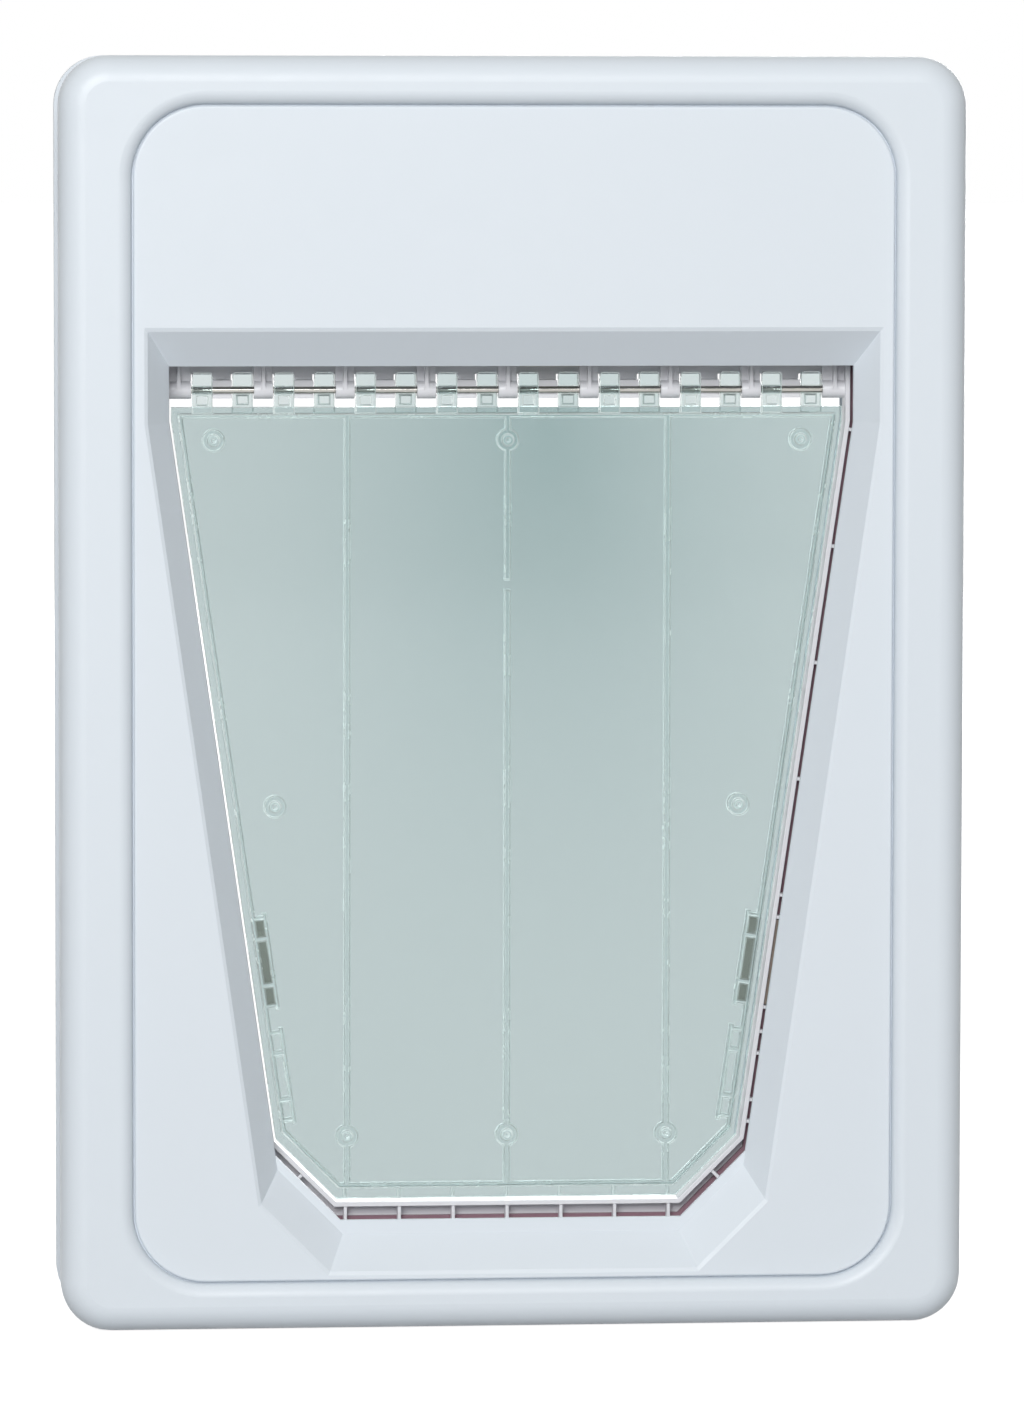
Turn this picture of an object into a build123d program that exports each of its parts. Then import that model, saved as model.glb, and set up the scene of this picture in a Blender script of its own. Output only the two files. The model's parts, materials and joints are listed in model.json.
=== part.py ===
from build123d import *
from collections import namedtuple
import math
import os

# Dog door with a radio lock, clamped on both faces of a door leaf. Sizes are in millimetres.
# X runs across the door, Y from the outside to the inside and Z up.
# Y = 0 is the outside face of the leaf, and X = Z = 0 is the middle of the cut-out.

# Frames and leaf
FRAME_WIDTH = 421.0
FRAME_HEIGHT = 591.0
FRAME_CORNER = 23.0
LEAF = 44.5
PROJECTION = 22.0
RIM_ROLL = 12.0
RIM_INNER_ROLL = 6.0
RIM_SIDE = 34.0
RIM_END = 23.0
WALL = 2.6
RIM_INNER_WALL = 3.6
RIM_RIB = 1.8
RIM_RIB_PITCH = 58.0
RIM_RIB_HEIGHT = 11.0
PANEL_THICKNESS = 2.6
PANEL_RECESS = 4.0
PANEL_GAP = 0.7
PANEL_CORNER = 33.0
PANEL_EDGE_ROLL = 1.2
LEDGE = 2.6
OVERLAP_SIDE = 38.0
OVERLAP_END = 35.5
CUT_OUT_CORNER = 12.0
SLEEVE_CLEARANCE = 0.75
SLEEVE_WALL = 2.4
SLEEVE_SETBACK = 1.5

# Funnel round the opening
HEADER_HEIGHT = 103.0
FUNNEL_SIDE_MARGIN = 6.0
FUNNEL_FOOT_MARGIN = 3.4
FUNNEL_SIDE = 11.0
FUNNEL_TOP = 17.3
FUNNEL_FOOT = 16.3
FUNNEL_DEPTH = 15.0
FUNNEL_CUT = 32.0
FUNNEL_EDGE = 1.0
FUNNEL_EDGE_SHARE = 0.05
THROAT_CUT = 30.5
LAND_FOOT = 6.5
MOUTH_CUT = 30.5
FUNNEL_CLEARANCE = 1.5

# Flap and hinge
SIDE_TAPER = 8.2
MOUTH_SIDE_GAP = 2.2
MOUTH_FOOT_GAP = 6.8
AXIS_DROP = 12.0
KINK_DROP = 14.2
FLAP_NECK = 7.8
FLAP_THICKNESS = 8.5
FLAP_CUT = 28.5
FLAP_PLATE = 2.0
FLAP_FLANGE = 3.4
FLAP_FOOT_FLANGE = 5.4
FLAP_WALL = 1.6
SHELL_GAP = 0.1
FLAP_RIB = 2.2
FLAP_RIB_X = 75.2
RIB_BREAK = 5.0
RIB_BREAK_DROP = 83.4
FOOT_RIB = 1.0
FOOT_RIB_HEIGHT = 1.0
BOSS_RADIUS = 5.0
STAKE_RADIUS = 2.5
STAKE_FIT = 0.25
STAKE_DIMPLE = 1.0
BOSS_TOP_DROP = 15.6
BOSS_TOP_INSET = 19.7
BOSS_MID_DROP = 187.0
BOSS_MID_INSET = 22.3
BOSS_FOOT_RISE = 29.6
PIN_RADIUS = 1.6
PIN_FIT = 0.04
PIN_SEAT = 2.4
TAB_COUNT = 16
TAB_WIDTH = 9.5
TAB_END_MARGIN = 9.7
TAB_RISE = 8.3
TAB_CORNER = 1.6
TAB_FIT = 0.08
TAB_SIDE_GAP = 0.35
TAB_ROOT = 3.0
TAB_RECESS_WIDTH = 5.2
TAB_RECESS_MARGIN = 1.0
TAB_RECESS = 2.2
KNUCKLE_RADIUS = 4.1
KNUCKLE_GUSSET = 1.8
SADDLE_BACK = 0.8
SADDLE_TOP = 4.6
SADDLE_REACH = 9.5
SADDLE_WALL = 2.0

# Magnets, keepers and their pockets
MAGNET_ROW = 40.0
MAGNET_WIDTH = 4.0
MAGNET_THICKNESS = 4.3
MAGNET_FIT = 0.1
LATCH_RISE = 111.0
SPARE_POCKET_DROP = 54.0
POCKET_WALL = 1.2
POCKET_RIB = 2.0
POCKET_RIB_OFFSET = 11.0
KEEPER_WIDTH = 2.6
KEEPER_DEPTH = 4.8
KEEPER_GAP = 0.4

# Chassis round the flap
LIP_GAP = 1.0
LIP_WALL = 2.2
LIP_DEPTH = 12.5
CHANNEL = 5.6
CHANNEL_WALL = 2.0
CHANNEL_FOOT = 4.3
CHASSIS_SETBACK = 8.9
CHASSIS_FIT = 0.3
CHANNEL_RIB = 1.6
SIDE_RIB_COUNT = 5
SIDE_RIB_DROP = 4.0
SIDE_RIB_PITCH = 54.7
FOOT_RIB_COUNT = 7
FOOT_RIB_PITCH = 25.4
RIB_SETBACK = 0.4
COVE_RISE = 7.0
FLOOR_REACH = 13.9
FLOOR_RISE = 13.0

# Fasteners
CLAMP_RADIUS = 2.5
CLAMP_BOSS_RADIUS = 5.5
CLAMP_INSET = 13.4
CLAMP_END_INSET = 28.5
CLAMP_MID_DROP = 186.0
CLAMP_BOSS_SETBACK = 1.0
CLAMP_BLIND = 2.0
SCREW_FIT = 0.05
BOLT_CLEARANCE = 0.4
CHASSIS_SCREW_RADIUS = 2.0
CHASSIS_SCREW_LENGTH = 14.0
CHASSIS_SCREW_DROP = 131.0
CHASSIS_POST_RADIUS = 4.5
PANEL_SCREW_RADIUS = 1.5
PANEL_SCREW_LENGTH = 12.0
PANEL_POST_RADIUS = 4.0
PANEL_POST_INSET = 16.5
PANEL_POST_TOP_INSET = 72.5
PANEL_POST_FOOT_INSET = 24.5
NIB_LENGTH = 4.0
NIB_FIT = 0.1
HEAD_FACTOR = 1.85
HEAD_HEIGHT_FACTOR = 1.5
DRIVE_FACTOR = 0.95
DRIVE_SLOT = 0.8

# Power supply
CELL_RADIUS = 16.6
CELL_LENGTH = 60.0
CELL_NUB_RADIUS = 4.75
CELL_NUB = 1.5
CELL_EDGE = 1.2
CELL_FIT = 0.4
CELL_ROWS = 2
CELLS_PER_ROW = 2
TRAY_WALL = 1.8
TRAY_DEPTH = 22.0
TRAY_LIFT = 4.0
CONTACT_DEPTH = 3.0
CONTACT_STRIP = 0.6
CONTACT_HALF = 10.0
CONTACT_FOLD = 6.0
CONTACT_CREST = 2.0
CONTACT_WIDTH = 10.0
WINDOW_SIDE_INSET = 23.35
WINDOW_FOOT_RISE = 6.5
WINDOW_TOP_INSET = 6.0
WINDOW_CORNER = 6.0

# Board, button and light pipe
BOARD_WIDTH = 72.0
BOARD_HEIGHT = 66.0
BOARD_THICKNESS = 1.6
BOARD_SIDE_GAP = 4.0
BOARD_LIFT = 14.0
BOARD_PROUD = 1.9
BOARD_POST_RADIUS = 3.2
BOARD_HOLE_INSET = 4.5
BOARD_SCREW_RADIUS = 1.3
BOARD_SCREW_LENGTH = 9.0
PART_ROW = 20.0
CHIP_SIDE = 12.0
CHIP_HEIGHT = 2.0
RELAY_OFFSET = 22.0
RELAY_LENGTH = 16.0
RELAY_WIDTH = 12.0
RELAY_HEIGHT = 7.0
PLUG_INSET = 4.0
PLUG_LENGTH = 28.0
PLUG_WIDTH = 6.0
PLUG_HEIGHT = 6.0
CAPACITOR_RADIUS = 4.0
CAPACITOR_HEIGHT = 9.0
CAPACITOR_OFFSETS = (20.0, 31.0)
CAPACITOR_ROW = 46.0
BUTTON_INSET = 26.0
PIPE_OFFSET = 26.0
CONTROL_LIFT = 52.0
BUTTON_RADIUS = 5.0
BUTTON_FIT = 0.3
BUTTON_PROUD = 1.8
BUTTON_FLANGE_RADIUS = 7.0
BUTTON_FLANGE = 1.5
BUTTON_FLANGE_GAP = 0.3
BUTTON_TAIL_RADIUS = 2.0
BUTTON_TAIL = 3.0
BUTTON_TRAVEL = 1.3
SWITCH_SIDE = 6.0
SWITCH_HEIGHT = 3.5
SWITCH_GAP = 0.3
PIPE_RADIUS = 2.5
PIPE_PROUD = 0.4
PIPE_FLANGE_RADIUS = 4.0
PIPE_FLANGE = 1.2
PIPE_TAIL = 8.0
COIL_INSET = 4.2
COIL_WIDTH = 4.3
COIL_THICKNESS = 3.0
COIL_FIT = 0.3
COIL_TOP_INSET = 16.0
COIL_BED_INSET = 1.0

# Lock drive
LOCK_PAIR = 4
SHOE_RISE = 11.0
SHOE_LEG = 6.0
SHOE_LEG_WALL = 2.0
SHOE_ROOF = 3.0
SHOE_FIT = 0.6
SHOE_END_GAP = 0.5
STEM_WIDTH = 8.0
STEM_DEPTH = 6.0
STEM_HEIGHT = 42.0
GUIDE_WALL = 2.5
GUIDE_HEIGHT = 7.0
GUIDE_LIFT = 33.0
GUIDE_FIT = 0.3
MODULE = 0.8
PINION_TEETH = 18
PRESSURE_ANGLE = 20.0
TOOTH_BACKLASH = 0.12
TOOTH_DEDENDUM = 1.25
RACK_LIFT = 18.0
RACK_TEETH = 8
PINION_WIDTH = 5.0
SHAFT_RADIUS = 1.5
SHAFT_FIT = 0.06
MOTOR_RADIUS = 12.0
MOTOR_LENGTH = 26.0
MOTOR_GAP = 3.0
MOTOR_NOSE_RADIUS = 4.0
MOTOR_EDGE = 1.0
BRACKET = 1.6
BRACKET_FOOT = 7.0
BRACKET_LEG = 10.0
BRACKET_GAP = 2.0

# Depths
MID = LEAF / 2
FACE_Y = PANEL_RECESS - PROJECTION
PANEL_BACK_Y = FACE_Y + PANEL_THICKNESS
THROAT_Y = FACE_Y + FUNNEL_DEPTH
MOUTH_Y = THROAT_Y + WALL
FLAP_FRONT = MID - FLAP_THICKNESS / 2
LIP_FRONT = MID - LIP_DEPTH / 2
PLATE_BACK = MID + LIP_DEPTH / 2
PLATE_FRONT = PLATE_BACK - WALL
COIL_FRONT = PLATE_FRONT - COIL_THICKNESS
HEADER_FRONT = MOUTH_Y + CHASSIS_SETBACK
HEADER_INNER = HEADER_FRONT + WALL
FLOOR_BACK = MID + FLOOR_REACH

# Widths and heights
PANEL_WIDTH = FRAME_WIDTH - 2 * RIM_SIDE
PANEL_HEIGHT = FRAME_HEIGHT - 2 * RIM_END
SLEEVE_WIDTH = FRAME_WIDTH - 2 * (OVERLAP_SIDE + SLEEVE_CLEARANCE)
SLEEVE_HEIGHT = FRAME_HEIGHT - 2 * (OVERLAP_END + SLEEVE_CLEARANCE)
BORE_HALF = SLEEVE_WIDTH / 2 - SLEEVE_WALL
BORE_TOP = SLEEVE_HEIGHT / 2 - SLEEVE_WALL
BORE_CORNER = CUT_OUT_CORNER - SLEEVE_CLEARANCE - SLEEVE_WALL

# Outlines of the opening: half width above the kink, top edge, lower edge and height of the cut corners
Outline = namedtuple("Outline", "half top foot cut")
FUNNEL = Outline(
    PANEL_WIDTH / 2 - FUNNEL_SIDE_MARGIN,
    PANEL_HEIGHT / 2 - HEADER_HEIGHT,
    FUNNEL_FOOT_MARGIN - PANEL_HEIGHT / 2,
    FUNNEL_CUT,
)
THROAT = Outline(FUNNEL.half - FUNNEL_SIDE, FUNNEL.top - FUNNEL_TOP, FUNNEL.foot + FUNNEL_FOOT, THROAT_CUT)
MOUTH = Outline(THROAT.half, THROAT.top, THROAT.foot + LAND_FOOT, MOUTH_CUT)
AXIS_Z = MOUTH.top - AXIS_DROP
KINK_Z = AXIS_Z - KINK_DROP
FLAP = Outline(MOUTH.half - MOUTH_SIDE_GAP, AXIS_Z - FLAP_NECK, MOUTH.foot + MOUTH_FOOT_GAP, FLAP_CUT)
FLOOR_Z = AXIS_Z + FLOOR_RISE
FLOOR_TOP = FLOOR_Z + WALL
TUNNEL = FLAP._replace(top=FLOOR_Z)
GUTTER = TUNNEL._replace(foot=FLAP.foot - CHANNEL_FOOT)
COIL = GUTTER._replace(top=BORE_TOP - COIL_TOP_INSET)
FIELD = FLAP._replace(foot=FLAP.foot + FLAP_FOOT_FLANGE - FLAP_FLANGE)
LATCH_Z = FLAP.foot + LATCH_RISE
SPARE_Z = LATCH_Z - SPARE_POCKET_DROP
TAPER_SLOPE = math.tan(math.radians(SIDE_TAPER))

# Hinge row
TAB_PITCH = (2 * (FLAP.half - TAB_END_MARGIN) - TAB_WIDTH) / (TAB_COUNT - 1)
FIRST_TAB_X = TAB_END_MARGIN + TAB_WIDTH / 2 - FLAP.half
KNUCKLE_WIDTH = TAB_PITCH - TAB_WIDTH - 2 * TAB_SIDE_GAP

# Lock drive positions
LOCK_X = FIRST_TAB_X + TAB_PITCH * (2 * LOCK_PAIR + 0.5)
SHOE_LENGTH = TAB_PITCH + TAB_WIDTH - 2 * SHOE_END_GAP + 2 * TAB_SIDE_GAP
SHOE_DEPTH = FLAP_THICKNESS + 2 * (SHOE_FIT + SHOE_LEG_WALL)
SHOE_FOOT = AXIS_Z + SHOE_RISE
STEM_FOOT = SHOE_FOOT + SHOE_LEG + SHOE_ROOF
PITCH_RADIUS = MODULE * PINION_TEETH / 2
RACK_PITCH = math.pi * MODULE
RACK_LINE_X = LOCK_X + STEM_WIDTH / 2 + TOOTH_DEDENDUM * MODULE
PINION_X = RACK_LINE_X + PITCH_RADIUS
PINION_Z = STEM_FOOT + RACK_LIFT
MOTOR_FRONT = MID + PINION_WIDTH / 2 + MOTOR_GAP

# Bolt and screw positions
CLAMP_X = BORE_HALF - CLAMP_INSET
CLAMP_END_Z = BORE_TOP - CLAMP_END_INSET
CLAMP_MID_Z = KINK_Z - CLAMP_MID_DROP
CHASSIS_SCREW_HEIGHTS = (KINK_Z - CHASSIS_SCREW_DROP, (CLAMP_MID_Z - CLAMP_END_Z) / 2)

# Control positions
WINDOW_HALF = BORE_HALF - WINDOW_SIDE_INSET
BOARD_X = WINDOW_HALF - BOARD_SIDE_GAP - BOARD_WIDTH
BUTTON_X = BOARD_X + BUTTON_INSET
PIPE_X = BUTTON_X + PIPE_OFFSET
BOARD_Z = FLOOR_TOP + BOARD_LIFT
BOARD_Y = LEAF + BOARD_PROUD
CONTROL_Z = FLOOR_TOP + CONTROL_LIFT
TRAY_Z = FLOOR_TOP + TRAY_LIFT
ROW_PITCH = 2 * (CELL_RADIUS + CELL_FIT) + TRAY_WALL
TRAY_LENGTH = CELLS_PER_ROW * (CELL_LENGTH + CELL_NUB) + 2 * (CONTACT_DEPTH + TRAY_WALL)
TRAY_HEIGHT = CELL_ROWS * ROW_PITCH + TRAY_WALL
TRAY_ROOM_FROM = CLAMP_BOSS_RADIUS - CLAMP_X
TRAY_ROOM_TO = LOCK_X - SHOE_LENGTH / 2
TRAY_X = (TRAY_ROOM_FROM + TRAY_ROOM_TO - TRAY_LENGTH) / 2
CELL_Y = HEADER_INNER + TRAY_WALL + CELL_FIT + CELL_RADIUS


def block(x_from, x_to, y_from, y_to, z_from, z_to):
    """Box between two corners."""
    middle = Pos((x_from + x_to) / 2, (y_from + y_to) / 2, (z_from + z_to) / 2)
    return middle * Box(x_to - x_from, y_to - y_from, z_to - z_from)


def rod_y(x, z, radius, y_from, y_to):
    """Round rod that runs through the door."""
    return Pos(x, (y_from + y_to) / 2, z) * Rot(90, 0, 0) * Cylinder(radius, y_to - y_from)


def rod_x(x_from, x_to, y, z, radius):
    """Round rod that runs across the door."""
    return Pos((x_from + x_to) / 2, y, z) * Rot(0, 90, 0) * Cylinder(radius, x_to - x_from)


def at_depth(face, y):
    """Upright face moved to one depth in the door."""
    return Plane.XZ.offset(-y) * face


def prism(face, y_from, y_to):
    """Upright outline carried from one depth to another."""
    return extrude(at_depth(face, y_to), amount=y_to - y_from)


def tapered(outline, grow=0.0):
    """Outline that is upright above the kink and tapers below it to two cut lower corners."""
    cut_z = outline.foot + outline.cut
    cut_x = outline.half - (KINK_Z - cut_z) * TAPER_SLOPE
    right = [
        (outline.half, outline.top),
        (outline.half, KINK_Z),
        (cut_x, cut_z),
        (cut_x - outline.cut, outline.foot),
    ]
    left = [(-x, z) for x, z in reversed(right)]
    face = make_face(Polyline(*right, *left, close=True))
    return offset(face, grow, kind=Kind.INTERSECTION) if grow else face


def edge_box(z, inset, width, length, y_from, y_to):
    """Box laid along the right-hand edge of the flap: inset from it, width across and length along it."""
    edge_x = FLAP.half - (KINK_Z - z) * TAPER_SLOPE
    body = Pos(-inset - width / 2, (y_from + y_to) / 2, 0) * Box(width, y_to - y_from, length)
    return Pos(edge_x, 0, z) * Rot(0, SIDE_TAPER, 0) * body


def both_sides(shapes):
    """Shapes of the right-hand side together with their mirror images."""
    return shapes + [mirror(shape, about=Plane.YZ) for shape in shapes]


def to_inside(shape):
    """Mirror image in the middle plane of the leaf."""
    return mirror(shape, about=Plane.XZ.offset(-MID))


def screw(x, z, radius, length, seat_y, inward):
    """Pan-head screw seated at one depth, with its shank along +Y or -Y."""
    way = 1 if inward else -1
    head_radius = radius * HEAD_FACTOR
    head_end = seat_y - way * radius * HEAD_HEIGHT_FACTOR
    shank_end = seat_y + way * length
    slot_end = head_end + way * DRIVE_SLOT
    shank = rod_y(x, z, radius, min(seat_y, shank_end), max(seat_y, shank_end))
    head = rod_y(x, z, head_radius, min(seat_y, head_end), max(seat_y, head_end))
    arm = radius * DRIVE_FACTOR
    half_slot = DRIVE_SLOT / 2
    low, high = min(head_end, slot_end), max(head_end, slot_end)
    cross = [
        block(x - arm, x + arm, low, high, z - half_slot, z + half_slot),
        block(x - half_slot, x + half_slot, low, high, z - arm, z + arm),
    ]
    return shank + head - cross


def clamp_places():
    """Bolt positions round the cut-out."""
    heights = (CLAMP_END_Z, CLAMP_MID_Z, -CLAMP_END_Z)
    return [(side * CLAMP_X, z) for z in heights for side in (-1, 1)]


def chassis_screw_places():
    """Screw positions beside the ribbed channel."""
    return [(side * CLAMP_X, z) for z in CHASSIS_SCREW_HEIGHTS for side in (-1, 1)]


def panel_post_places():
    """Post positions behind each cover panel."""
    x = PANEL_WIDTH / 2 - PANEL_POST_INSET
    top = PANEL_HEIGHT / 2 - PANEL_POST_TOP_INSET
    foot = PANEL_POST_FOOT_INSET - PANEL_HEIGHT / 2
    return [(side * x, z) for z in (top, foot) for side in (-1, 1)]


def rolled_slab(width, height, corner, depth, roll):
    """Slab that lies on the leaf with its front edge rolled over."""
    slab = prism(RectangleRounded(width, height, corner), -depth, 0)
    return fillet(slab.faces().sort_by(Axis.Y)[0].outer_wire().edges(), roll)


def rim_ribs():
    """Stiffening ribs inside the hollow rim."""
    side_from = PANEL_WIDTH / 2 + PANEL_GAP + WALL / 2
    side_to = FRAME_WIDTH / 2 - WALL / 2
    end_from = PANEL_HEIGHT / 2 + PANEL_GAP + WALL / 2
    end_to = FRAME_HEIGHT / 2 - WALL / 2
    rows = int((PANEL_HEIGHT - 2 * PANEL_CORNER) / RIM_RIB_PITCH)
    columns = int((PANEL_WIDTH - 2 * PANEL_CORNER) / RIM_RIB_PITCH)
    half = RIM_RIB / 2
    depth = (-WALL / 2 - RIM_RIB_HEIGHT, -WALL / 2)
    ribs = []
    for row in range(rows + 1):
        z = (row - rows / 2) * RIM_RIB_PITCH
        ribs += both_sides([block(side_from, side_to, *depth, z - half, z + half)])
    for column in range(columns + 1):
        x = (column - columns / 2) * RIM_RIB_PITCH
        ribs.append(block(x - half, x + half, *depth, end_from, end_to))
        ribs.append(block(x - half, x + half, *depth, -end_to, -end_from))
    return ribs


def frame_moulding():
    """Outside trim frame: hollow rolled rim, rebate for the panel and floor plate with the tapered hole."""
    rim = rolled_slab(FRAME_WIDTH, FRAME_HEIGHT, FRAME_CORNER, PROJECTION, RIM_ROLL)
    rebate = RectangleRounded(
        PANEL_WIDTH + 2 * PANEL_GAP, PANEL_HEIGHT + 2 * PANEL_GAP, PANEL_CORNER + PANEL_GAP
    )
    rim -= prism(rebate, -PROJECTION, PANEL_BACK_Y)
    rim = fillet(rim.faces().sort_by(Axis.Y)[0].inner_wires()[0].edges(), RIM_INNER_ROLL)
    inner_width, inner_height = FRAME_WIDTH - 2 * WALL, FRAME_HEIGHT - 2 * WALL
    hollow = rolled_slab(inner_width, inner_height, FRAME_CORNER - WALL, PROJECTION - WALL, RIM_ROLL - WALL)
    hollow -= prism(offset(rebate, RIM_INNER_WALL), -PROJECTION, 0)
    tray = RectangleRounded(PANEL_WIDTH - 2 * LEDGE, PANEL_HEIGHT - 2 * LEDGE, PANEL_CORNER - LEDGE)
    hole = tapered(THROAT, WALL + FUNNEL_CLEARANCE)
    body = rim - [hollow, prism(tray, PANEL_BACK_Y, -WALL), prism(hole, -WALL, 0)]
    return body + rim_ribs()


def make_exterior_frame():
    """Outside frame with blind bosses for the clamp bolts and holes for the panel screws."""
    boss_end = PANEL_BACK_Y + CLAMP_BOSS_SETBACK
    bosses = [rod_y(x, z, CLAMP_BOSS_RADIUS, boss_end, -WALL / 2) for x, z in clamp_places()]
    bores = [rod_y(x, z, CLAMP_RADIUS + SCREW_FIT, boss_end + CLAMP_BLIND, 0) for x, z in clamp_places()]
    holes = [rod_y(x, z, PANEL_SCREW_RADIUS + BOLT_CLEARANCE, -WALL, 0) for x, z in panel_post_places()]
    return frame_moulding() + bosses - bores - holes


def make_interior_frame():
    """Inside frame with the sleeve that lines the cut-out, the header window and the chassis posts."""
    outer = RectangleRounded(SLEEVE_WIDTH, SLEEVE_HEIGHT, CUT_OUT_CORNER - SLEEVE_CLEARANCE)
    bore = RectangleRounded(2 * BORE_HALF, 2 * BORE_TOP, BORE_CORNER)
    sleeve = prism(outer - bore, SLEEVE_SETBACK, LEAF + WALL / 2)
    posts = [
        rod_y(x, z, CHASSIS_POST_RADIUS, PLATE_BACK, LEAF + WALL / 2) for x, z in chassis_screw_places()
    ]
    floor_depth = (LEAF, LEAF + WALL)
    window_foot = FLOOR_TOP + WINDOW_FOOT_RISE
    window_top = BORE_TOP - WINDOW_TOP_INSET
    window = RectangleRounded(2 * WINDOW_HALF, window_top - window_foot, WINDOW_CORNER)
    cuts = [prism(Pos(0, (window_foot + window_top) / 2) * window, *floor_depth)]
    cuts += [rod_y(x, z, CLAMP_RADIUS + BOLT_CLEARANCE, *floor_depth) for x, z in clamp_places()]
    cuts += [rod_y(x, z, PANEL_SCREW_RADIUS + NIB_FIT, *floor_depth) for x, z in panel_post_places()]
    pilot_end = PLATE_FRONT + CHASSIS_SCREW_LENGTH + CLAMP_BLIND
    pilot = CHASSIS_SCREW_RADIUS + SCREW_FIT
    cuts += [rod_y(x, z, pilot, PLATE_BACK, pilot_end) for x, z in chassis_screw_places()]
    return to_inside(frame_moulding()) + [sleeve] + posts - cuts


def panel_moulding():
    """Outside cover panel with the sloped funnel and its posts, still without screw holes."""
    plate = prism(RectangleRounded(PANEL_WIDTH, PANEL_HEIGHT, PANEL_CORNER), FACE_Y, PANEL_BACK_Y)
    plate = fillet(plate.faces().sort_by(Axis.Y)[0].outer_wire().edges(), PANEL_EDGE_ROLL)
    slope = [(FUNNEL, FACE_Y), (THROAT, THROAT_Y)]
    skin = loft([at_depth(tapered(outline, WALL), y) for outline, y in slope], ruled=True)
    share = FUNNEL_EDGE_SHARE
    broken = Outline(*[near + share * (far - near) for near, far in zip(FUNNEL, THROAT)])
    edge_y = FACE_Y + share * FUNNEL_DEPTH
    edge = [at_depth(tapered(FUNNEL, FUNNEL_EDGE), FACE_Y), at_depth(tapered(broken), edge_y)]
    void = loft([at_depth(tapered(outline), y) for outline, y in slope], ruled=True)
    land = prism(tapered(THROAT, WALL), THROAT_Y, MOUTH_Y)
    opening = prism(tapered(MOUTH), THROAT_Y, MOUTH_Y)
    posts = [rod_y(x, z, PANEL_POST_RADIUS, PANEL_BACK_Y - WALL / 2, -WALL) for x, z in panel_post_places()]
    return plate + [skin, land] + posts - [void, loft(edge, ruled=True), opening]


def make_exterior_panel():
    """Outside panel with blind screw holes in its posts."""
    pilot = PANEL_SCREW_RADIUS + SCREW_FIT
    holes = [rod_y(x, z, pilot, -PANEL_SCREW_LENGTH, -WALL) for x, z in panel_post_places()]
    return panel_moulding() - holes


def make_interior_panel():
    """Inside panel with push-fit nibs on its posts and holes for the button and the light pipe."""
    seat = LEAF + WALL
    nibs = [rod_y(x, z, PANEL_SCREW_RADIUS, seat - NIB_LENGTH, seat) for x, z in panel_post_places()]
    depth = (LEAF - PANEL_BACK_Y, LEAF - FACE_Y)
    holes = [
        rod_y(BUTTON_X, CONTROL_Z, BUTTON_RADIUS + BUTTON_FIT, *depth),
        rod_y(PIPE_X, CONTROL_Z, PIPE_RADIUS + SCREW_FIT, *depth),
    ]
    return to_inside(panel_moulding()) + nibs - holes


def channel_ribs():
    """Ribs across the channel that surrounds the flap, in front of the winding."""
    reach = LIP_GAP + LIP_WALL
    overlap = LIP_WALL / 4
    across = CHANNEL + 2 * overlap
    inset = -reach - CHANNEL - overlap
    depth = (LIP_FRONT + RIB_SETBACK, COIL_FRONT - COIL_FIT)
    heights = [KINK_Z - SIDE_RIB_DROP - row * SIDE_RIB_PITCH for row in range(SIDE_RIB_COUNT)]
    pocket_half = MAGNET_ROW / 2 + KEEPER_GAP + CHANNEL_RIB / 2
    for centre in (LATCH_Z, SPARE_Z):
        heights += [centre - pocket_half, centre + pocket_half]
    heights += [SPARE_Z - POCKET_RIB_OFFSET, SPARE_Z + POCKET_RIB_OFFSET]
    right = [edge_box(z, inset, across, CHANNEL_RIB, *depth) for z in heights]
    cut_mid = FLAP.foot + FLAP.cut / 2
    cut_x = FLAP.half - (KINK_Z - FLAP.foot - FLAP.cut) * TAPER_SLOPE - FLAP.cut / 2
    longer = across + CHANNEL_FOOT
    near = reach - overlap
    corner = block(near, near + longer, *depth, -CHANNEL_RIB / 2, CHANNEL_RIB / 2)
    right.append(Pos(cut_x, 0, cut_mid) * Rot(0, 45, 0) * corner)
    ribs = both_sides(right)
    top = FLAP.foot - reach + overlap
    for column in range(FOOT_RIB_COUNT):
        x = (column - (FOOT_RIB_COUNT - 1) / 2) * FOOT_RIB_PITCH
        ribs.append(block(x - CHANNEL_RIB / 2, x + CHANNEL_RIB / 2, *depth, top - longer, top))
    return ribs


def knuckle(x_from, x_to):
    """White hinge knuckle with the web and gusset that hang it from the header floor."""
    middle = (x_from + x_to) / 2
    barrel = rod_x(x_from, x_to, MID, AXIS_Z, KNUCKLE_RADIUS)
    web = block(x_from, x_to, MID, MID + KNUCKLE_RADIUS, AXIS_Z, FLOOR_Z + WALL / 2)
    gusset = block(
        middle - KNUCKLE_GUSSET / 2,
        middle + KNUCKLE_GUSSET / 2,
        MID - KNUCKLE_RADIUS,
        MID,
        AXIS_Z,
        FLOOR_Z + WALL / 2,
    )
    return [barrel, web, gusset]


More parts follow.
